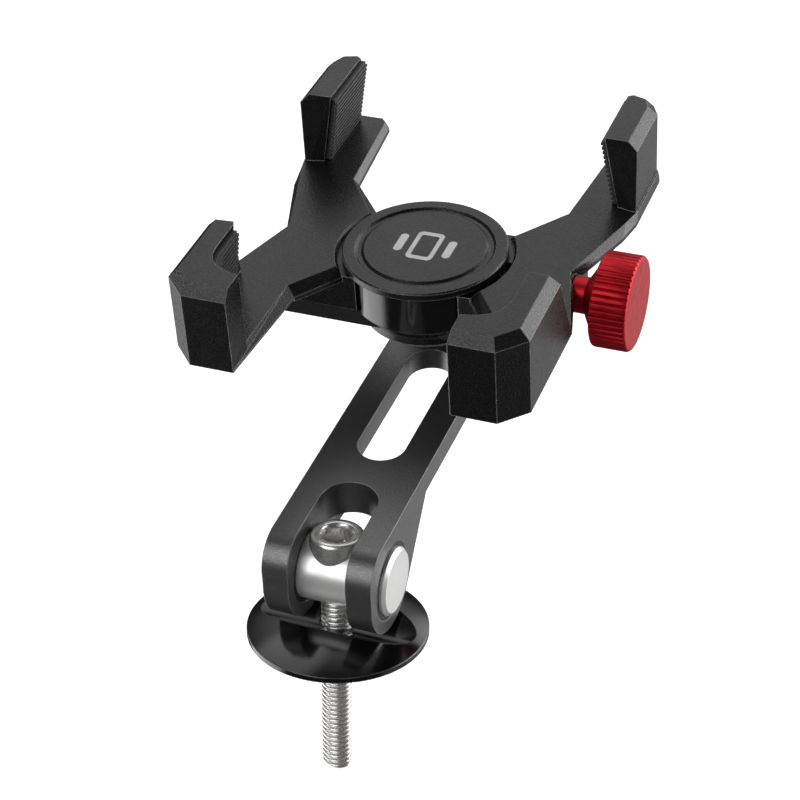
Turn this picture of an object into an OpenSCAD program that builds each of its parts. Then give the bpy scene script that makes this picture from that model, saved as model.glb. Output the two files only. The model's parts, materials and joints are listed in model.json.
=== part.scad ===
// Phone mount for a bicycle stem: stem cap, tilting slotted arm, swivelling head and two racked jaws.
// Millimetres. Origin: centre of the cap's seat on the bolt axis. Z up the bolt, X along the tilt pin,
// Y along the arm. Head parts are drawn in the head's own frame, whose zero is the cover's top face.

/* [Pose] */
// tilt of the arm and head above level, degrees
tilt = 9.5; // [0:0.5:20]

/* [Cap] */
// radius of the stem cap
cap_r = 16.04; // [15:0.02:18]
// height of the cap's rim band
rim_h = 1; // [1:0.1:3]
// rise of the dome above the rim's top edge
dome_rise = 3.6; // [2:0.1:6]
// radius of the saddle that the arm's round cheeks turn in
saddle_r = 10.9; // [10.7:0.1:12]
// radius of the spigot under the cap
spigot_r = 11.4; // [10:0.1:12.5]
// depth of the spigot
spigot_h = 2.2; // [1:0.1:4]

/* [Barrel and bolt] */
// height of the tilt pin above the seat
pin_z = 12.63; // [12.2:0.01:14]
// radius of the barrel
barrel_r = 6.1; // [5.5:0.05:6.5]
// half length of the barrel
barrel_half = 11.07; // [10.6:0.01:12]
// radius of the cap bolt's thread
bolt_r = 3; // [3:0.5:4]
// length of the cap bolt under its head
bolt_len = 43; // [35:1:60]
// radius of the bolt's head
bolt_head_r = 4.75; // [4:0.05:4.9]
// height of the bolt's head
bolt_head_h = 6; // [5:0.1:7]
// height of the head's seat above the pin's centre
bolt_seat = 1.45; // [0.5:0.05:2]

/* [Arm] */
// distance from pin to swivel axis along the arm
arm_run = 48.57; // [45:0.01:60]
// height from pin to the cover's top face, square to the arm
arm_rise = 35.68; // [34:0.01:36.5]
// width of the arm
arm_w = 20; // [18:0.5:24]
// level of the plate's top, in the head's frame
plate_top = -25.87; // [-27:0.01:-25]
// thickness of the plate
plate_t = 4.33; // [3.5:0.01:6]
// radius of the clevis cheeks
cheek_r = 9.4; // [9:0.1:9.6]
// width of the clevis slot
clevis_slot_w = 10.5; // [10:0.1:11.5]
// width of the lightening slot
slot_w = 8.9; // [7:0.1:10]

/* [Hub] */
// radius of the cover
disc_r = 15; // [14:0.05:15.1]
// thickness of the cover
disc_t = 1.7; // [1:0.1:1.8]
// radius of the hub
hub_r = 13.7; // [13:0.1:14]
// radius of the hub's post
post_r = 3; // [2.8:0.1:3.2]

/* [Rack and pinion] */
// tooth module
module_mm = 0.9; // [0.8:0.05:0.95]
// teeth on the pinion
teeth = 12; // [12:2:14]
// thickness of the sliding bars
bar_t = 2.95; // [2.5:0.05:3]
// outer edge of the sliding bars, from the middle
bar_out = 10.5; // [10:0.1:10.6]

/* [Jaws] */
// opening of each jaw at rest, from fully closed
rest_open = 0.3; // [0:0.1:3]
// level of the fingers' tops
finger_top = 13.6; // [10:0.1:16]

/* [Knob] */
// radius of the knob
knob_r = 8.6; // [8:0.1:9]
// level of the lead screw's axis
screw_w = -4.8; // [-5.2:0.1:-4.8]
// radius of the lead screw
screw_r = 2; // [2:0.1:2.2]
// flutes on the knob
flutes = 44; // [30:2:60]

/* [Output] */
// which node to draw

/* [Hidden] */
$fn = 72;
e = 0.5;                                     // overrun of a cut
run = 0.05;                                  // running gap
plate_bot = plate_top - plate_t;
hub_top = -disc_t;
hub_bot = -12;
bar_top = -9;
bar_bot = bar_top - bar_t;
channel_top = bar_top + run;
slide_plate_bot = -13.65;
flange_top = -14.2;
flange_bot = -17.2;
flange_r = 7.2;
post_end = flange_bot - run;
pitch_r = module_mm * teeth / 2;
tooth_pitch = PI * module_mm;
rack_tip = pitch_r - 0.6;
rack_root = pitch_r + 1.15;
bush_r = 7.05;
jaw_top = -0.85;
recess_r = 15.7;
jaw_face = 27.2;                             // outer wall of a jaw at the lead screw
journal_r = 2.9;
clip_u = 20.35;
black = [0.13, 0.13, 0.14];
grey = [0.2, 0.2, 0.21];
steel = [0.8, 0.8, 0.82];
red = [0.75, 0.12, 0.13];
rubber = [0.06, 0.06, 0.06];

// ---- frames and helpers

module in_pin() translate([0, 0, pin_z]) rotate([tilt, 0, 0]) children();
module in_head() in_pin() translate([0, arm_run, arm_rise]) children();
module along_x() rotate([90, 0, 90]) children();
module disc(r, lo, hi) translate([0, 0, lo]) cylinder(r = r, h = hi - lo);
module box(a, b) translate(a) cube(b - a);
function reversed(a) = [for (i = [len(a) - 1:-1:0]) a[i]];

// a solid through outlines with the same number of corners, given as [outline, level] from the bottom up
module loft(levels) {
    n = len(levels[0][0]);
    last = len(levels) - 1;
    polyhedron(
        points = [for (l = levels, p = l[0]) [p[0], p[1], l[1]]],
        faces = concat([[for (i = [0:n - 1]) i], [for (i = [n - 1:-1:0]) last * n + i]],
                       [for (k = [0:last - 1], i = [0:n - 1])
                        [k * n + i, (k + 1) * n + i, k * n + (i + 1) % n]],
                       [for (k = [0:last - 1], i = [0:n - 1])
                        [k * n + (i + 1) % n, (k + 1) * n + i, (k + 1) * n + (i + 1) % n]]));
}

// ---- cap, barrel and bolt

module stem_cap() color(black) difference() {
    dome_r = (cap_r * cap_r + dome_rise * dome_rise) / (2 * dome_rise);
    union() {
        disc(cap_r, 0, rim_h);
        intersection() {
            disc(cap_r, rim_h - 0.01, rim_h + dome_rise + 1);
            translate([0, 0, rim_h + dome_rise - dome_r]) sphere(r = dome_r, $fn = 180);
        }
        disc(spigot_r, -spigot_h, 0.01);
    }
    translate([0, 0, pin_z - 1]) along_x() translate([0, 1, -20]) cylinder(r = saddle_r, h = 40);
    disc(bolt_r + 0.3, -5, 12);
    difference() { disc(spigot_r - 1.8, -spigot_h - e, -0.6); disc(bolt_r + 2.3, -spigot_h - 1, 0); }
}

module barrel_pin() color(steel) translate([0, 0, pin_z]) difference() {
    c = 0.6;
    rotate([0, 90, 0]) rotate_extrude() polygon([[0, -barrel_half], [barrel_r - c, -barrel_half],
        [barrel_r, -barrel_half + c], [barrel_r, barrel_half - c], [barrel_r - c, barrel_half],
        [0, barrel_half]]);
    disc(bolt_head_r + 0.15, bolt_seat, barrel_r + 1);
    disc(bolt_r + 0.2, -barrel_r - 1, bolt_seat + e);
}

// the shank is relieved where it passes the barrel and the cap
module clamp_bolt() color(steel) translate([0, 0, pin_z + bolt_seat]) difference() {
    free = -(pin_z + bolt_seat + spigot_h);
    rotate_extrude() polygon([[0, -bolt_len], [bolt_r - 0.7, -bolt_len], [bolt_r, -bolt_len + 0.7],
        [bolt_r, free], [bolt_r - 0.25, free + 0.25], [bolt_r - 0.25, 0], [bolt_head_r, 0],
        [bolt_head_r, bolt_head_h - 0.5], [bolt_head_r - 0.5, bolt_head_h], [0, bolt_head_h]]);
    disc(5 / sqrt(3), bolt_head_h - 3.2, bolt_head_h + e, $fn = 6);
    translate([0, 0, bolt_head_h]) rotate_extrude()
        polygon([[0, -0.5], [2.6, -0.5], [3.3, 0], [3.3, e], [0, e]]);
}

module pin_bush(side) color(rubber) in_pin() along_x() difference() {
    translate([0, 0, side > 0 ? clevis_slot_w / 2 : -arm_w / 2])
        cylinder(r = bush_r - 0.02, h = (arm_w - clevis_slot_w) / 2);
    translate([0, 0, -20]) cylinder(r = barrel_r + 0.04, h = 40);
}
module pin_bush_left() pin_bush(-1);
module pin_bush_right() pin_bush(1);

// ---- arm

// plate and clevis seen from the side
module arm_side() {
    corner_r = 6;
    corner = [-arm_run - 3.2, plate_top - corner_r];
    from = [-30.6, plate_bot];
    to = [-arm_run, -arm_rise];
    gap = norm(to - from);
    heading = atan2(to[1] - from[1], to[0] - from[0]) + asin(cheek_r / gap);
    reach = sqrt(gap * gap - cheek_r * cheek_r);
    foot = from + reach * [cos(heading), sin(heading)];
    translate(to) circle(r = cheek_r);
    translate(corner) circle(r = corner_r);
    polygon([[corner[0], plate_top], [7, plate_top], [7, plate_bot], from, foot, to,
             [to[0] - cheek_r + 0.2, to[1]], [corner[0] - corner_r, corner[1]],
             [corner[0], corner[1]]]);
}

// the bend that carries the plate up and back under the head
module arm_bend() {
    out_r = (flange_top - plate_bot) / 2;
    in_r = (flange_bot - plate_top) / 2;
    difference() {
        union() {
            translate([7, (flange_top + plate_bot) / 2]) circle(r = out_r);
            translate([2, flange_bot]) square([5, flange_top - flange_bot]);
        }
        translate([7, (flange_bot + plate_top) / 2]) circle(r = in_r);
        translate([-3, plate_bot - e]) square([10, flange_bot - plate_bot + e]);
        translate([-3, flange_bot]) square([3, flange_top - flange_bot + e]);
    }
}

module arm() color(grey) in_head() difference() {
    union() {
        along_x() linear_extrude(arm_w, center = true) arm_side();
        along_x() linear_extrude(2 * flange_r, center = true) arm_bend();
        intersection() {
            along_x() linear_extrude(arm_w, center = true) arm_bend();
            box([-arm_w, 7, -40], [arm_w, 30, plate_top + 6]);
        }
        disc(flange_r, flange_bot, flange_top);
    }
    disc(post_r + run, flange_bot - 1, flange_top + 1);
    for (span = [[-25.6, -0.85, slot_w], [-70, -41.95, clevis_slot_w]]) {
        box([-span[2] / 2, span[0], -50], [span[2] / 2, span[1], plate_top + e]);
        translate([0, span[0], -50]) cylinder(d = span[2], h = plate_top + e + 50);
        translate([0, span[1], -50]) cylinder(d = span[2], h = plate_top + e + 50);
    }
    // relief below the clevis slot's far end, for the bolt's head
    box([-clevis_slot_w / 2, -41.95, -50], [clevis_slot_w / 2, -38.5, -32.8]);
    translate([0, -38.5, -50]) cylinder(d = clevis_slot_w, h = 50 - 32.8);
    translate([0, -arm_run, -arm_rise]) along_x() translate([0, 0, -20]) cylinder(r = bush_r, h = 40);
}

// ---- swivel

module swivel_washer() color([0.85, 0.85, 0.8]) in_head() difference() {
    disc(flange_r - 0.3, flange_top + run, slide_plate_bot);
    disc(post_r + run, flange_top - 1, slide_plate_bot + 1);
}

module swivel_plate() color(steel) in_head() difference() {
    disc(5.6, post_end - 0.8, post_end);
    disc(screw_r + 0.1, post_end - 2, post_end + 1);
}

module swivel_screw() color(steel) in_head() {
    head_top = post_end - 0.8;
    difference() {
        union() {
            disc(screw_r - 0.02, head_top - 0.1, head_top + 7.5);
            disc(3.8, head_top - 2.2, head_top);
        }
        disc(2.5 / sqrt(3), head_top - 3, head_top - 0.8, $fn = 6);
    }
}

// ---- hub

module hub_body() color(black) in_head() difference() {
    rotate_extrude() polygon([[0, hub_bot], [hub_r - 2, hub_bot], [hub_r, -9.6], [hub_r, hub_top - 0.4],
        [hub_r - 0.4, hub_top], [11, hub_top], [11, hub_top - 0.7], [0, hub_top - 0.7]]);
    for (s = [-1, 1]) box([-20, min(s * (rack_tip - 0.15), s * (bar_out + run)), hub_bot - 1],
                          [20, max(s * (rack_tip - 0.15), s * (bar_out + run)), channel_top]);
    disc(pitch_r + 1.05, hub_bot - 1, channel_top);
    translate([0, 0, screw_w]) along_x() translate([0, 0, -20]) cylinder(r = screw_r + run, h = 40);
    for (x = [-9.6, 9.6], y = [-2.6, 2.6]) translate([x, y, 0]) disc(1, hub_bot - 1, -8.4);
}

// the hub's post is part of the slide plate, which closes the hub from below
module slide_plate() color(black) in_head() difference() {
    union() {
        disc(11.6, slide_plate_bot, hub_bot);
        disc(post_r, post_end, channel_top);
    }
    disc(screw_r, post_end - 1, channel_top - 0.6);
    for (x = [-9.6, 9.6], y = [-2.6, 2.6]) translate([x, y, 0]) {
        disc(1.1, slide_plate_bot - 1, hub_bot + 1);
        disc(2, slide_plate_bot - 1, slide_plate_bot + 1);
    }
}

module slide_plate_screws() color(steel) in_head()
    for (x = [-9.6, 9.6], y = [-2.6, 2.6]) translate([x, y, 0]) difference() {
        union() { disc(0.98, slide_plate_bot + 0.9, -8.5); disc(1.9, slide_plate_bot, slide_plate_bot + 1); }
        disc(1.3 / sqrt(3), slide_plate_bot - 1, slide_plate_bot + 0.6, $fn = 6);
    }

module cover_disc() color(black) in_head() difference() {
    rotate_extrude() polygon([[0, -disc_t - 0.6], [10.98, -disc_t - 0.6], [10.98, -disc_t],
        [disc_r - 0.3, -disc_t], [disc_r, -disc_t + 0.3], [disc_r, -0.3], [disc_r - 0.3, 0],
        [12.75, 0], [12.2, -0.45], [11.6, -0.45], [11, 0], [0, 0]]);
    translate([0, 0, -0.2]) linear_extrude(1) emblem_2d(0.02);
}

// plain mark: a handset outline held between two bars
module rounded(w, h, r) {
    square([w, h - 2 * r], center = true);
    square([w - 2 * r, h], center = true);
    for (x = [-1, 1], y = [-1, 1]) translate([x * (w / 2 - r), y * (h / 2 - r)]) circle(r = r);
}
module emblem_2d(grow) {
    g = 2 * grow;
    difference() { rounded(5 + g, 8.6 + g, 1 + grow); rounded(3.4 - g, 6.6 - g, 0.5 - grow); }
    for (x = [-4.6, 4.6]) translate([x, 0]) rounded(1.5 + g, 5.4 + g, 0.7 + grow);
}
module cover_emblem() color(steel) in_head() translate([0, 0, -0.2]) linear_extrude(0.25) emblem_2d(0);

// ---- rack and pinion

function inv(a) = tan(a) * 180 / PI - a;

module pinion_2d() {
    base_r = pitch_r * cos(20);
    tip_r = pitch_r + 0.8;
    half = 90 / teeth - 0.08 / pitch_r * 180 / PI;   // half tooth angle at the pitch circle, with backlash
    steps = 6;
    flank = [for (i = [0:steps]) let (r = base_r + (tip_r - base_r) * i / steps,
             a = acos(base_r / r)) [r, half + inv(20) - inv(a)]];
    root = pitch_r - 0.8;
    intersection() {
        union() {
            circle(r = root);
            for (k = [0:teeth - 1]) rotate(90 + k * 360 / teeth) polygon(concat([[0, 0]],
                [[root * cos(-flank[0][1]), root * sin(-flank[0][1])]],
                [for (p = flank) p[0] * [cos(-p[1]), sin(-p[1])]],
                [for (i = [steps:-1:0]) flank[i][0] * [cos(flank[i][1]), sin(flank[i][1])]],
                [[root * cos(flank[0][1]), root * sin(flank[0][1])]]));
        }
        circle(r = tip_r);
    }
}

module pinion() color([0.8, 0.65, 0.3]) in_head() difference() {
    translate([0, 0, bar_bot]) linear_extrude(bar_t) pinion_2d();
    disc(post_r + run, bar_bot - 1, bar_top + 1);
}

// a bar from u = from to u = to, with teeth on its inner edge from first to last
module bar(from, to, first, last) {
    lean = tan(20);
    top_w = tooth_pitch / 4 - 0.04 - 0.6 * lean;
    foot_w = tooth_pitch / 4 - 0.04 + (rack_root - pitch_r) * lean;
    box([from, rack_root, bar_bot], [to, bar_out, bar_top]);
    translate([0, 0, bar_bot]) linear_extrude(bar_t)
        for (k = [ceil(first / tooth_pitch):floor(last / tooth_pitch)]) translate([(k + 0.5) * tooth_pitch, 0])
            polygon([[-foot_w, rack_root + 0.01], [-top_w, rack_tip], [top_w, rack_tip],
                     [foot_w, rack_root + 0.01]]);
}

module rack() color(steel) difference() {
    bar(-27.9, 26.5, -27, 8);
    for (u = [20.5, 24.5]) translate([u, 8.4, 0]) {
        disc(1.1, bar_bot - 1, bar_top + 1);
        disc(1.9, bar_bot - 1, bar_bot + 1.2);
    }
}
module rack_screws() color(steel) for (u = [20.5, 24.5]) translate([u, 8.4, 0]) difference() {
    union() { disc(0.98, bar_bot + 1, -5.1); disc(1.8, bar_bot + 0.1, bar_bot + 1.2); }
    disc(1.3 / sqrt(3), bar_bot - 1, bar_bot + 0.7, $fn = 6);
}
module right_rack() in_head() rack();
module right_rack_screws() in_head() rack_screws();
module left_rack() in_head() rotate([0, 0, 180]) rack();
module left_rack_screws() in_head() rotate([0, 0, 180]) rack_screws();

// ---- jaws, drawn for the right-hand side

// each outline is convex; the three slabs overlap and make the X's half
front_low = [[17.8, -18.6], [19.3, -41.4], [27.5, -41.4], [31.8, -37], [31.8, -14], [27.1, 3]];
front_high = [[19.6, -17.2], [20, -40], [27.5, -40], [31.5, -37], [31.5, -14], [26.1, 3]];
root_low = [[11, -9.03], [17.8, -18.6], [24, -16], [27, -2], [27, 4], [24, 17], [20.4, 18.9], [11.6, 8.27]];
root_high = [[12.2, -7.37], [19.6, -17.2], [24, -14], [26.9, -2], [26.9, 4], [24, 16], [21.2, 18.5],
             [12.6, 6.58]];
rear_low = [[27, -1], [32.2, 15.4], [33.2, 21], [33.2, 36.6], [31.6, 39.7], [28.3, 41],
            [23.6, 41], [22.2, 39.8], [20.4, 18.9]];
rear_high = [[26.3, -1], [31.9, 18.4], [33, 23], [33, 36.5], [31.4, 39.4], [28.2, 40.7],
             [23.9, 40.7], [22.9, 39.6], [21.2, 18.5]];
hook_foot = [[19.4, -41.5], [27.55, -41.5], [31.9, -37], [31.9, -14.4], [26.6, -14.4], [19.4, -35.6]];
hook_mid = [[19.4, -41.5], [27.55, -41.5], [31.9, -37], [31.9, -20.6], [26.6, -20.2], [19.4, -35.6]];
hook_tip = [[19.6, -39.6], [26.8, -39.7], [30.1, -36.3], [30.1, -21.2], [26.6, -20.9], [19.6, -35.6]];
rear_foot = [[32.7, 22.2], [32.7, 36.4], [31.4, 39.6], [30.1, 40.3], [29.4, 39.6], [29.4, 23]];
rear_mid = [[32.7, 22.4], [32.7, 36], [31.2, 38.8], [27.8, 40], [26.8, 39.3], [26.8, 22.8]];
rear_tip = [[30.95, 22.7], [30.95, 35.4], [29.9, 37.8], [27.4, 38.6], [26.5, 38], [26.5, 22.8]];
hook_lean = 0.13;                            // inward lean of the front finger's inner wall, per mm of height
hook_in = 26.5;                              // that wall at the finger's top

// inner wall of the front finger at level w, moved inwards by t, from v = from to its tail
function hook_wall(w, t, from, tail) = let (u = hook_in + hook_lean * (finger_top - w) - t)
    concat([[u, from]], [for (i = [0:5]) let (k = i / 5)
        (1 - k) * (1 - k) * [u, -28.8] + 2 * k * (1 - k) * [u - 0.2, -34.7 + t] + k * k * [tail, -35.45 + t]]);
function hook_throat(w) = reversed(concat(
    [[hook_in + 3.4, -8], [hook_in + 0.8 + hook_lean * (finger_top - w), -20]],
    hook_wall(w, 0, -21.6, 20), [[10, -35.45], [10, -8]]));

// own is 1 where the jaw's own bar lies behind the screw, -1 where it lies in front
module jaw(own) difference() {
    union() {
        loft([[front_low, -2.5], [front_low, -2.2], [front_high, jaw_top]]);
        loft([[root_low, -3.1], [root_low, -2.2], [root_high, jaw_top]]);
        loft([[rear_low, -3.1], [rear_low, -2.2], [rear_high, jaw_top]]);
        box([9, -10.4, bar_top], [jaw_face, 10.4, -2]);
        difference() {
            loft([[hook_foot, -2.6], [hook_mid, 11.8], [hook_tip, finger_top]]);
            loft([[hook_throat(jaw_top - 0.05), jaw_top - 0.05],
                  [hook_throat(finger_top + 1), finger_top + 1]]);
        }
        loft([[rear_foot, -3.2], [rear_mid, 11.8], [rear_tip, finger_top]]);
    }
    translate([rest_open, 0, 0]) disc(recess_r, -disc_t - 0.35, 5);
    translate([rest_open, 0, 0]) disc(hub_r + 0.3, bar_top - 1, -disc_t);
    translate([rest_open, 0, jaw_top - 0.45]) cylinder(r1 = recess_r - 0.02, r2 = recess_r + 0.6, h = 0.62);
    for (u = [20.5, 24.5]) translate([u, own * 8.4, 0]) disc(1, bar_top - 1, -5);
    mirror([0, own > 0 ? 0 : 1, 0]) box([8, -12, bar_top - 1], [30, 0.3 - rack_tip, bar_top + 0.1]);
}

module right_jaw() color(grey) in_head() difference() {
    jaw(1);
    translate([0, 0, screw_w]) along_x() {
        translate([0, 0, 10]) cylinder(r = journal_r + run, h = 20);
        translate([0, 0, 10]) cylinder(r = 3.4, h = 11);
        translate([0, 0, jaw_face]) cylinder(r = 3.9, h = 9);
    }
}
module left_jaw() color(grey) in_head() mirror([1, 0, 0]) jaw(-1);

// ---- pads

// ribbed strips: their ribs run along the jaw, and their backs lean with the finger's inner wall
rib = 0.95;
ribs = 14;
module pad_layer(low, high, t) translate([0, 0, low]) linear_extrude(high - low)
    polygon(concat(hook_wall(high, 0.03, -21.9, 20), reversed(hook_wall(high, t, -21.9, 20))));
module front_pad() for (k = [0:ribs - 1]) let (w = jaw_top + 0.05 + k * rib) {
    pad_layer(w, w + 0.5, 1.2);
    pad_layer(w + 0.5, w + rib, 0.75);
}
module rear_pad() {
    slope = (29.4 - 26.8) / 15;
    start = jaw_top + 0.3;
    teeth_pts = [for (k = [0:ribs - 1], p = [[-1.2, 0], [-1.2, 0.5], [-0.75, 0.5], [-0.75, rib]])
                 [p[0], p[1] + k * rib]];
    translate([29.4 - slope * (start + 3.2), 39, start]) rotate([0, -atan(slope), 0]) rotate([90, 0, 0])
        linear_extrude(15.5) polygon(concat([[-0.03, 0]], teeth_pts, [[-0.03, ribs * rib]]));
}
module pad_right_front() color(rubber) in_head() front_pad();
module pad_right_rear() color(rubber) in_head() rear_pad();
module pad_left_front() color(rubber) in_head() mirror([1, 0, 0]) front_pad();
module pad_left_rear() color(rubber) in_head() mirror([1, 0, 0]) rear_pad();

// ---- knob

module knob() color(red) in_head() translate([0, 0, screw_w]) along_x() difference() {
    union() {
        rotate_extrude() polygon([[0, 20.95], [journal_r, 20.95], [journal_r, 27.8], [3.3, 27.8],
            [3.3, 30.4], [7.2, 32.7], [knob_r - 0.5, 32.7], [knob_r - 0.5, 39.1], [knob_r - 0.75, 39.4],
            [0, 39.4]]);
        translate([0, 0, 33]) linear_extrude(6.1) polygon(
            [for (i = [0:flutes - 1], s = [-0.36, -0.26, 0.26, 0.36]) let (a = (i + s) * 360 / flutes)
                (abs(s) > 0.3 ? knob_r - 0.4 : knob_r) * [cos(a), sin(a)]]);
    }
    cylinder(r = screw_r + 0.01, h = 37);
}

module lead_screw() color(steel) in_head() translate([0, 0, screw_w]) along_x() difference() {
    translate([0, 0, -11.5]) cylinder(r = screw_r, h = 48);
    translate([0, 0, clip_u - 0.03]) difference() {
        cylinder(r = 3, h = 0.6);
        translate([0, 0, -1]) cylinder(r = 1.55, h = 3);
    }
}
module knob_washer() color([0.8, 0.65, 0.3]) in_head() translate([0, 0, screw_w]) along_x() difference() {
    translate([0, 0, jaw_face + run]) cylinder(r = 3.7, h = 0.5);
    cylinder(r = journal_r + 0.03, h = 40);
}
module knob_clip() color(steel) in_head() translate([0, 0, screw_w]) along_x() difference() {
    translate([0, 0, clip_u]) cylinder(r = 3.1, h = 0.54);
    cylinder(r = 1.57, h = 40);
    translate([-1.2, 0, 0]) cube([2.4, 6, 40]);
}

stem_cap();
barrel_pin();
clamp_bolt();
pin_bush_left();
pin_bush_right();
arm();
swivel_washer();
swivel_plate();
swivel_screw();
hub_body();
slide_plate();
slide_plate_screws();
cover_disc();
cover_emblem();
pinion();
right_jaw();
right_rack();
right_rack_screws();
left_jaw();
left_rack();
left_rack_screws();
pad_right_front();
pad_right_rear();
pad_left_front();
pad_left_rear();
knob();
lead_screw();
knob_washer();
knob_clip();
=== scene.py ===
import json
import math

import bmesh
import bpy
from mathutils import Matrix, Vector


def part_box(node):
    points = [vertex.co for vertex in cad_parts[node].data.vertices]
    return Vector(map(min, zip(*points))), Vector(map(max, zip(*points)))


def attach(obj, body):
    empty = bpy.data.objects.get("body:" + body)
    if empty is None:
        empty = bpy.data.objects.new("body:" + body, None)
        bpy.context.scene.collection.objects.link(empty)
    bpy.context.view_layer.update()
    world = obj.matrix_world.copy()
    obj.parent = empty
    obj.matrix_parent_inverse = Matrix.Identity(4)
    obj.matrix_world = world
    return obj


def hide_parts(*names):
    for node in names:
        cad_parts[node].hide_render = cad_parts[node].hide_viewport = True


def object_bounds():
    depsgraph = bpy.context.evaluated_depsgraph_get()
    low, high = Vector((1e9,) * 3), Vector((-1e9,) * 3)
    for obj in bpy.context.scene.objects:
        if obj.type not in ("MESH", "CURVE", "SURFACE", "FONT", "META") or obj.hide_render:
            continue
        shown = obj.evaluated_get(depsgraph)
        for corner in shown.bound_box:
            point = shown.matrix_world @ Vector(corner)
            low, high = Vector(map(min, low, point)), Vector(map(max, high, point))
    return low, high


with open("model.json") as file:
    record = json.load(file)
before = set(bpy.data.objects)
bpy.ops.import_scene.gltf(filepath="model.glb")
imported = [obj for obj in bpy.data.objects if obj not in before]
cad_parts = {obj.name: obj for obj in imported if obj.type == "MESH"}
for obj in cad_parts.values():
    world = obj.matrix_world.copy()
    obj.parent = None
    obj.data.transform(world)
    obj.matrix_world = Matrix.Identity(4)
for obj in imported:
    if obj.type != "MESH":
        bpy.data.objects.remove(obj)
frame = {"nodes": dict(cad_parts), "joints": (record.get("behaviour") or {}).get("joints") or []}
cad_low, cad_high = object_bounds()
nodes = frame["nodes"]
joints = {j["name"]: j for j in frame["joints"]}
MM = 0.001


# ---- node helpers

class Tree:
    """A node tree with short calls for the nodes the finishes share."""

    def __init__(self, name):
        self.mat = bpy.data.materials.new(name)
        self.mat.use_nodes = True
        self.t = self.mat.node_tree
        self.t.nodes.clear()
        self.out = self.add("ShaderNodeOutputMaterial")
        self.bsdf = self.add("ShaderNodeBsdfPrincipled")
        self.link(self.bsdf.outputs[0], self.out.inputs[0])
        self.coord = self.add("ShaderNodeTexCoord").outputs["Object"]

    def add(self, kind, **props):
        n = self.t.nodes.new(kind)
        for k, v in props.items():
            setattr(n, k, v)
        return n

    def link(self, a, b):
        self.t.links.new(a, b)

    def put(self, sock, value):
        if isinstance(value, bpy.types.NodeSocket):
            self.link(value, sock)
        else:
            sock.default_value = value

    def math(self, op, a, b=0.0, clamp=False):
        n = self.add("ShaderNodeMath", operation=op, use_clamp=clamp)
        self.put(n.inputs[0], a)
        self.put(n.inputs[1], b)
        return n.outputs[0]

    def mix(self, fac, a, b):
        n = self.add("ShaderNodeMix", data_type="RGBA")
        self.put(n.inputs[0], fac)
        self.put(n.inputs[6], a)
        self.put(n.inputs[7], b)
        return n.outputs[2]

    def ramp(self, fac, lo, hi, out_lo=0.0, out_hi=1.0):
        n = self.add("ShaderNodeMapRange", clamp=True)
        for i, v in enumerate((fac, lo, hi, out_lo, out_hi)):
            self.put(n.inputs[i], v)
        return n.outputs[0]

    def stretch(self, scale):
        n = self.add("ShaderNodeMapping")
        self.link(self.coord, n.inputs[0])
        n.inputs["Scale"].default_value = scale
        return n.outputs[0]

    def noise(self, size_mm, detail=2.0, rough=0.5, vector=None):
        n = self.add("ShaderNodeTexNoise")
        self.link(vector or self.coord, n.inputs["Vector"])
        n.inputs["Scale"].default_value = 1 / (size_mm * MM)
        n.inputs["Detail"].default_value = detail
        n.inputs["Roughness"].default_value = rough
        return n.outputs[0]

    def bump(self, height, depth_mm, strength=1.0, normal=None):
        n = self.add("ShaderNodeBump")
        n.inputs["Distance"].default_value = depth_mm * MM
        n.inputs["Strength"].default_value = strength
        self.link(height, n.inputs["Height"])
        if normal:
            self.link(normal, n.inputs["Normal"])
        return n.outputs[0]

    def rounded(self, radius_mm):
        """The normal of edges rounded over this radius, and a mask that is 1 along them."""
        n = self.add("ShaderNodeBevel", samples=6)
        n.inputs["Radius"].default_value = radius_mm * MM
        geo = self.add("ShaderNodeNewGeometry")
        dot = self.add("ShaderNodeVectorMath", operation="DOT_PRODUCT")
        self.link(n.outputs[0], dot.inputs[0])
        self.link(geo.outputs["Normal"], dot.inputs[1])
        return n.outputs[0], self.ramp(self.math("SUBTRACT", 1.0, dot.outputs["Value"]), 0.01, 0.12)

    def finish(self, color, rough, metal=0.0, normal=None, **more):
        self.put(self.bsdf.inputs["Base Color"], color)
        self.put(self.bsdf.inputs["Roughness"], rough)
        self.put(self.bsdf.inputs["Metallic"], metal)
        if normal:
            self.link(normal, self.bsdf.inputs["Normal"])
        for k, v in more.items():
            self.put(self.bsdf.inputs[k.replace("_", " ")], v)
        return self.mat


def rgb(r, g=None, b=None):
    return (r, r if g is None else g, r if b is None else b, 1.0)


# ---- finishes

def blasted(name, tone, rough, edge_mm, grain=0.36, depth=0.045, spec=0.45, edge_highlight=0.7, fleck=5,
            ior=1.5):
    """Bead-blasted, anodised aluminium: fine speckle, cloudy tone, and thin edges lightened as a painted
    highlight.
    """
    m = Tree(name)
    soft, edge = m.rounded(edge_mm)
    speck = m.noise(grain, 1.0, 0.6)
    cloud = m.noise(9.0, 4.0, 0.6)
    color = m.mix(m.ramp(cloud, 0.35, 0.7), rgb(tone), rgb(tone * 1.6))
    color = m.mix(m.ramp(speck, 0.55, 0.7), color, rgb(tone * fleck))
    # painted highlight: the colour is lightened to pale grey along edges, broken up by noise
    edge_highlight_mask = m.math("MULTIPLY", edge, m.ramp(m.noise(1.6, 4.0, 0.7), 0.35, 0.62, 0.5, 1.0))
    color = m.mix(m.math("MULTIPLY", edge_highlight_mask, edge_highlight), color, rgb(0.35, 0.35, 0.355))
    gloss = m.ramp(cloud, 0.3, 0.7, rough + 0.03, rough - 0.03)
    gloss = m.math("ADD", gloss, m.ramp(speck, 0.4, 0.62, 0.06, -0.06))
    return m.finish(color, gloss, 0.0, m.bump(speck, depth, 1.0, soft), Specular_IOR_Level=spec, IOR=ior)


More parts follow.
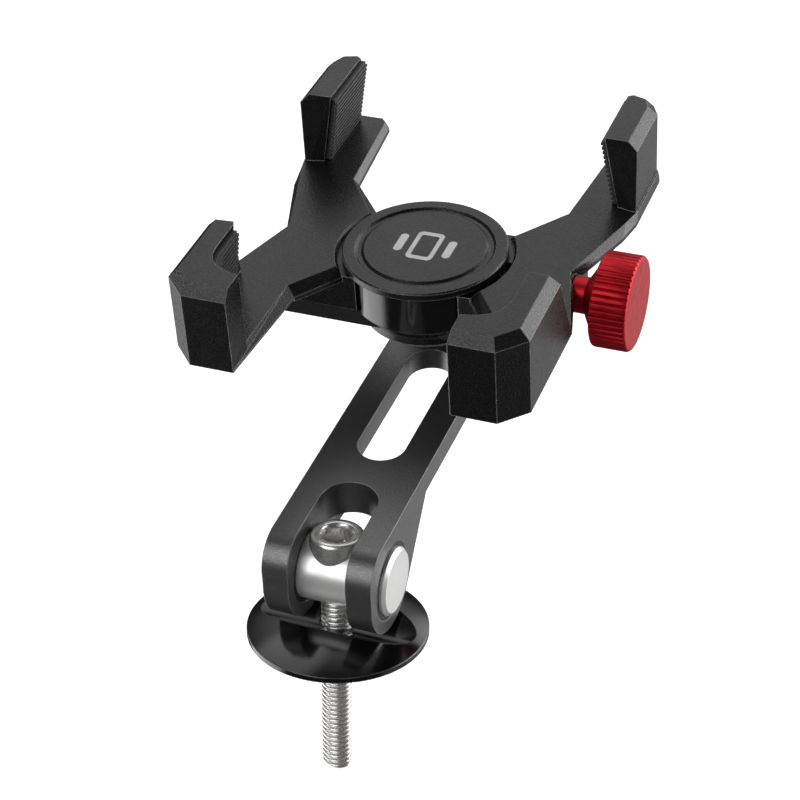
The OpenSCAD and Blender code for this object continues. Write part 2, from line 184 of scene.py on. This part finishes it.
def turned(name, color, rough, edge_mm, metal=1.0, lines=0.09, depth=0.006, axis=(1, 1, 14),
           dirt=0.25):
    """Turned bright metal: fine tool lines, smudges, and edges brightened as a painted highlight."""
    m = Tree(name)
    soft, edge = m.rounded(edge_mm)
    line = m.noise(lines * 10, 3.0, 0.6, m.stretch(axis))
    smudge = m.noise(2.6, 4.0, 0.6)
    dull = tuple(c * (1 - dirt) for c in color[:3]) + (1.0,)
    tone = m.mix(m.ramp(smudge, 0.35, 0.7), color, dull)
    # painted highlight: the colour is made brighter along edges
    edge_highlight_color = tuple(min(1, c * 1.35) for c in color[:3]) + (1.0,)
    tone = m.mix(m.math("MULTIPLY", edge, 0.5), tone, edge_highlight_color)
    gloss = m.ramp(smudge, 0.3, 0.75, rough, rough + 0.1)
    gloss = m.math("ADD", gloss, m.ramp(line, 0.4, 0.7, 0.0, 0.06))
    return m.finish(tone, gloss, metal, m.bump(line, depth, 1.0, soft))


def moulded(name, color, rough, edge_mm, grain=0.12, depth=0.03, dust=0.25):
    """Moulded rubber or nylon: fine grain, pale dust in random patches, and the same pale colour along
    edges as a painted highlight.
    """
    m = Tree(name)
    soft, edge = m.rounded(edge_mm)
    pit = m.noise(grain, 3.0, 0.7)
    patch = m.noise(3.0, 4.0, 0.65)
    # pale colour: real dust in random patches, and a painted highlight along edges
    dust_and_highlight_color = tuple(min(1, c * 1.9 + 0.012) for c in color[:3]) + (1.0,)
    tone = m.mix(m.math("MULTIPLY", m.ramp(patch, 0.45, 0.75), dust), color, dust_and_highlight_color)
    # painted highlight: the pale colour is laid along edges
    tone = m.mix(m.math("MULTIPLY", edge, 0.5), tone, dust_and_highlight_color)
    gloss = m.ramp(patch, 0.3, 0.7, rough - 0.06, rough + 0.06)
    return m.finish(tone, gloss, 0.0, m.bump(pit, depth, 1.0, soft))


finish = {
    "black_alloy": blasted("black_alloy", 0.0013, 0.31, 0.26),
    # painted light: a lighter, shinier copy of black_alloy that makes the arm read brighter than the
    # lighting leaves it
    "arm_alloy_painted_lit": blasted("arm_alloy_painted_lit", 0.007, 0.36, 0.26, 0.3, 0.045, 0.6, 0.7, 4, 2.0),
    "gloss_black": blasted("gloss_black", 0.001, 0.13, 0.35, 0.12, 0.002, 0.7, 0.3),
    "black_steel": blasted("black_steel", 0.004, 0.32, 0.12, 0.15, 0.008, 0.5, 0.1),
    "stainless": turned("stainless", rgb(0.86, 0.85, 0.84), 0.2, 0.07, 0.9, 0.09, 0.0006,
                        (1, 1, 14), 0.12),
    "satin_steel": turned("satin_steel", rgb(0.82, 0.815, 0.81), 0.29, 0.1, 0.75, 0.06, 0.002,
                          (14, 1, 1), 0.04),
    "red_alloy": turned("red_alloy", rgb(0.50, 0.012, 0.02), 0.34, 0.12, 0.88, 0.08, 0.006,
                        (14, 1, 1), 0.2),
    "silver_foil": turned("silver_foil", rgb(0.6), 0.42, 0.03, 0.5, 0.05, 0.003, (1, 1, 1), 0.1),
    "pad_rubber": moulded("pad_rubber", rgb(0.024, 0.024, 0.0245), 0.45, 0.12),
    "nylon": moulded("nylon", rgb(0.002), 0.4, 0.1, 0.2, 0.01),
    "white_nylon": moulded("white_nylon", rgb(0.62, 0.61, 0.57), 0.45, 0.1, 0.2, 0.012, 0.4),
    "brass": turned("brass", rgb(0.62, 0.42, 0.16), 0.28, 0.1),
}
# the barrel gets a satin finish; the arm gets the lighter copy of black_alloy, which is painted light
own_finish = {"barrel_pin": "satin_steel", "arm": "arm_alloy_painted_lit"}

for name, node in nodes.items():
    for s in node.material_slots:
        own = finish[own_finish.get(name, s.material.name.split(".")[0])]
        s.link = "OBJECT"
        s.material = own


# ---- turned pieces

def add_mesh(name, bm, mat, body, stands_for):
    bmesh.ops.remove_doubles(bm, verts=bm.verts, dist=1e-7)
    bmesh.ops.dissolve_degenerate(bm, dist=1e-7, edges=bm.edges)
    bmesh.ops.recalc_face_normals(bm, faces=bm.faces)
    me = bpy.data.meshes.new(name)
    bm.to_mesh(me)
    bm.free()
    me.materials.append(finish[mat])
    o = bpy.data.objects.new(name, me)
    bpy.context.scene.collection.objects.link(o)
    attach(o, body)
    if stands_for:
        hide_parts(*stands_for)
    return o


def placed(origin, axis):
    """Matrix that takes a profile turned about Z to this origin and axis."""
    return Matrix.Translation(origin) @ Vector((0, 0, 1)).rotation_difference(axis).to_matrix().to_4x4()


def on_circle(r, angle, h):
    """Point in metres at this radius, angle and height, from mm."""
    return Vector((r * MM * math.cos(angle), r * MM * math.sin(angle), h * MM))


def lathe(bm, profile, place, around=96):
    """Surface of revolution from (radius, height) points in mm."""
    rings = []
    for r, h in profile:
        if r == 0:
            rings.append([bm.verts.new(place @ Vector((0, 0, h * MM)))] * around)
            continue
        rings.append([bm.verts.new(place @ on_circle(r, 2 * math.pi * i / around, h))
                      for i in range(around)])
    for a, b in zip(rings, rings[1:]):
        for i in range(around):
            k = (i + 1) % around
            corners = list(dict.fromkeys((a[i], a[k], b[k], b[i])))
            if len(corners) > 2:
                bm.faces.new(corners)


def thread(bm, r, depth, pitch, low, high, place, around=48, per_turn=10):
    """Rolled thread: the grid follows the helix, and its ends are cut off square."""
    rows = int((high - low) / pitch * per_turn) + 2 * per_turn + 2
    crest = [0, 0.02, 0.12, 0.45, 0.85, 1, 1, 0.85, 0.45, 0.12]
    grid = []
    for k in range(rows):
        row = []
        for i in range(around):
            h = low - pitch + (k / per_turn + i / around) * pitch
            fade = min(1.0, max(0.0, (h - low) / (0.8 * pitch)), max(0.0, (high - h) / (0.8 * pitch)))
            rr = r - depth * (crest[k % per_turn] if fade > 0 else 1)
            rr = min(rr, r - depth + depth * fade)
            at = on_circle(rr, 2 * math.pi * i / around, min(max(h, low), high))
            row.append(bm.verts.new(place @ at))
        grid.append(row)
    for k in range(rows - 1):
        for i in range(around):
            if i + 1 < around:
                quad = (grid[k][i], grid[k][i + 1], grid[k + 1][i + 1], grid[k + 1][i])
            elif k + per_turn + 1 < rows:
                quad = (grid[k][i], grid[k + per_turn][0], grid[k + per_turn + 1][0], grid[k + 1][i])
            else:
                continue
            bm.faces.new(quad)


def shade(o, angle=35):
    for p in o.data.polygons:
        p.use_smooth = True
    split = o.modifiers.new("sharp", "EDGE_SPLIT")
    split.split_angle = math.radians(angle)


# clamp bolt: hexagon socket, rounded head, rolled M6 thread
bolt_low, bolt_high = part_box("clamp_bolt")
bolt_axis = Matrix.Translation(((bolt_low.x + bolt_high.x) / 2, (bolt_low.y + bolt_high.y) / 2, 0))
head_top, tip = bolt_high.z / MM, bolt_low.z / MM
head_low = head_top - 6
head_r = (bolt_high.x - bolt_low.x) / 2 / MM
thread_r, root_r, socket_r, around = 3.0, 2.45, 2.9, 96
bm = bmesh.new()
lathe(bm, [(root_r, head_low - 6), (root_r, head_low - 0.01), (head_r - 0.35, head_low),
           (head_r, head_low + 0.3), (head_r, head_top - 0.7), (head_r - 0.12, head_top - 0.35),
           (head_r - 0.4, head_top - 0.08), (head_r - 0.75, head_top), (3.25, head_top),
           (3.05, head_top - 0.12), (socket_r, head_top - 0.4)], bolt_axis)
levels = []
for flat, h in ((0, 0.4), (2.5, 0.75), (2.5, 3.2), (0.4, 3.9)):
    ring = []
    for i in range(around):
        a = 2 * math.pi * i / around
        side = (a + math.pi / 6) % (math.pi / 3) - math.pi / 6
        r = flat / math.cos(side) if flat else socket_r
        ring.append(bm.verts.new(bolt_axis @ on_circle(r, a, head_top - h)))
    levels.append(ring)
for a, b in zip(levels, levels[1:]):
    for i in range(around):
        bm.faces.new((a[i], a[(i + 1) % around], b[(i + 1) % around], b[i]))
bm.faces.new(levels[-1])
thread(bm, thread_r, thread_r - root_r, 1.0, tip, head_low, bolt_axis)
lathe(bm, [(root_r + 0.02, tip + 0.6), (root_r, tip + 0.05), (root_r - 0.35, tip), (0, tip)], bolt_axis)
bolt = add_mesh("clamp_bolt_threaded", bm, "stainless", "cap_bolt", ["clamp_bolt"])
shade(bolt)

# lead screw and knob share the knob joint's axis
knob_axis = Vector(joints["knob_spin"]["axis"]).normalized()
knob_low, knob_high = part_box("knob")
knob_pos = Vector(joints["knob_spin"]["pos_m"])
axis_at = Vector((0, knob_pos.y, knob_pos.z))
turn = placed(axis_at, knob_axis)
screw_low, screw_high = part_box("lead_screw")
screw_from, screw_to = screw_low.x / MM, screw_high.x / MM
bm = bmesh.new()
thread(bm, 2.0, 0.38, 0.7, screw_from, screw_from + 31, turn, 40)
lathe(bm, [(1.6, screw_from + 30), (1.6, screw_to), (0, screw_to)], turn, 40)
lathe(bm, [(1.64, screw_from + 0.4), (1.55, screw_from + 0.02), (1.3, screw_from),
           (0, screw_from)], turn, 40)
screw = add_mesh("lead_screw_threaded", bm, "black_steel", "knob_set", ["lead_screw"])
shade(screw)

# knob: journal, collar, cone, knurled rim and a flat face with a fine chamfer
face = knob_high.x / MM
rim_r = (knob_high.z - knob_low.z) / 2 / MM
flutes, per, flute_depth = 44, 12, 0.42
bm = bmesh.new()
lathe(bm, [(2.02, face - 18.4), (2.9, face - 18.4), (2.9, face - 11.6), (3.2, face - 11.6),
           (3.3, face - 11.5), (3.3, face - 9.05), (3.4, face - 8.9), (7.1, face - 6.76),
           (7.3, face - 6.7), (rim_r - 0.9, face - 6.7)], turn, flutes * per)
rings = []
for r_out, h in ((rim_r - 0.9, -6.7), (rim_r - 0.45, -6.68), (rim_r - 0.12, -6.5), (rim_r, -6.2),
                 (rim_r, -0.5), (rim_r - 0.1, -0.3), (rim_r - 0.3, -0.08), (rim_r - 0.5, 0.0),
                 (rim_r - 0.9, 0.0), (2.0, 0.0)):
    ring = []
    for i in range(flutes * per):
        a = 2 * math.pi * i / (flutes * per)
        valley = max(0.0, 1 - abs(i % per - per / 2) / 2.5)
        r = min(r_out, rim_r - flute_depth * valley)
        ring.append(bm.verts.new(turn @ on_circle(r, a, face + h)))
    rings.append(ring)
for a, b in zip(rings, rings[1:]):
    for i in range(len(a)):
        k = (i + 1) % len(a)
        bm.faces.new((a[i], a[k], b[k], b[i]))
bm.faces.new(rings[-1])
knob = add_mesh("knob_knurled", bm, "red_alloy", "knob_set", ["knob"])
shade(knob, 28)


# ---- stage

floor_z = cad_low.z - 0.0005
bm = bmesh.new()
bmesh.ops.create_grid(bm, x_segments=1, y_segments=1, size=4.0)
me = bpy.data.meshes.new("floor")
bm.to_mesh(me)
bm.free()
floor = bpy.data.objects.new("floor", me)
floor.location = (0, 0, floor_z)
bpy.context.scene.collection.objects.link(floor)
paper = Tree("paper")
me.materials.append(paper.finish(paper.mix(paper.noise(40.0, 3.0), rgb(0.86), rgb(0.89)), 0.9))
paper.bsdf.inputs["Specular IOR Level"].default_value = 0.0
paper.bsdf.inputs["Emission Color"].default_value = rgb(1.0)
paper.bsdf.inputs["Emission Strength"].default_value = 0.62
floor.visible_glossy = False
floor.visible_shadow = False

scene = bpy.context.scene
scene.view_settings.view_transform = "Standard"

# the room: white to the camera; to the object a bright sweep behind and above, dark towards the front
world = bpy.data.worlds.new("studio")
scene.world = world
world.use_nodes = True
wt = world.node_tree
wt.nodes.clear()


def w_add(kind, *inputs, **props):
    n = wt.nodes.new(kind)
    for k, v in props.items():
        setattr(n, k, v)
    for i, v in enumerate(inputs):
        if isinstance(v, bpy.types.NodeSocket):
            wt.links.new(v, n.inputs[i])
        elif v is not None:
            n.inputs[i].default_value = v
    return n


heading = w_add("ShaderNodeTexCoord").outputs["Generated"]


def glow(toward, start, full, strength):
    """Light that grows as the view direction turns towards this one."""
    dot = w_add("ShaderNodeVectorMath", heading, Vector(toward).normalized(), operation="DOT_PRODUCT")
    rise = w_add("ShaderNodeMapRange", dot.outputs["Value"], start, full, 0.0, strength,
                 interpolation_type="SMOOTHSTEP")
    return rise.outputs[0]


# each glow: direction, cosine where it begins, cosine where it is full, strength
total = 0.045
for lobe in (((-0.2, 0.65, 0.7), 0.74, 0.95, 0.66),        # back sweep
             ((-0.3, -0.82, 0.45), 0.86, 0.95, 2.4),       # above the camera
             ((-0.5, 0.2, 0.84), 0.93, 0.98, 1.0),         # above, left
             ((-0.92, -0.1, -0.3), 0.78, 0.9, 2.5),        # left
             ((0.45, 0.82, -0.35), 0.8, 0.95, 0.42),       # back, low
             ((0.85, 0.45, 0.15), 0.8, 0.92, 3.5),         # right
             ((0.49, 0.82, 0.31), 0.87, 0.96, 1.7),        # back, right
             ((0.9, 0.2, -0.4), 0.88, 0.95, 0.3)):         # right, low
    total = w_add("ShaderNodeMath", total, glow(*lobe), operation="ADD").outputs[0]
w_mix = w_add("ShaderNodeMixShader", w_add("ShaderNodeLightPath").outputs["Is Camera Ray"],
              w_add("ShaderNodeBackground", rgb(1.0), total).outputs[0],
              w_add("ShaderNodeBackground", rgb(1.0), 1.0).outputs[0])
w_add("ShaderNodeOutputWorld", w_mix.outputs[0])

middle = (cad_low + cad_high) / 2


def softbox(name, away, size, power):
    light = bpy.data.lights.new(name, "AREA")
    light.shape = "RECTANGLE"
    light.size, light.size_y = size
    light.energy = power
    o = bpy.data.objects.new(name, light)
    o.location = middle + Vector(away)
    o.rotation_euler = (middle - o.location).to_track_quat("-Z", "Y").to_euler()
    scene.collection.objects.link(o)


softbox("back_above", (-0.15, 0.55, 0.6), (0.6, 0.4), 0.3)
softbox("right_side", (0.75, 0.4, 0.25), (0.2, 0.4), 0.08)


# ---- camera

target = Vector((0.00183, 0.02501, 0.03346))
cam_data = bpy.data.cameras.new("camera")
cam_data.sensor_width = 36
cam_data.lens = 99.0
cam_data.clip_start = 0.01
camera = bpy.data.objects.new("camera", cam_data)
azimuth, elevation, roll = (math.radians(a) for a in (20.65, 29.11, 0.48))
distance = 0.39024
back = Vector((math.sin(azimuth) * math.cos(elevation), -math.cos(azimuth) * math.cos(elevation),
               math.sin(elevation)))
camera.location = target + back * distance
aim = back.to_track_quat("Z", "Y").to_matrix() @ Matrix.Rotation(roll, 3, "Z")
camera.rotation_euler = aim.to_euler()
scene.collection.objects.link(camera)
scene.camera = camera
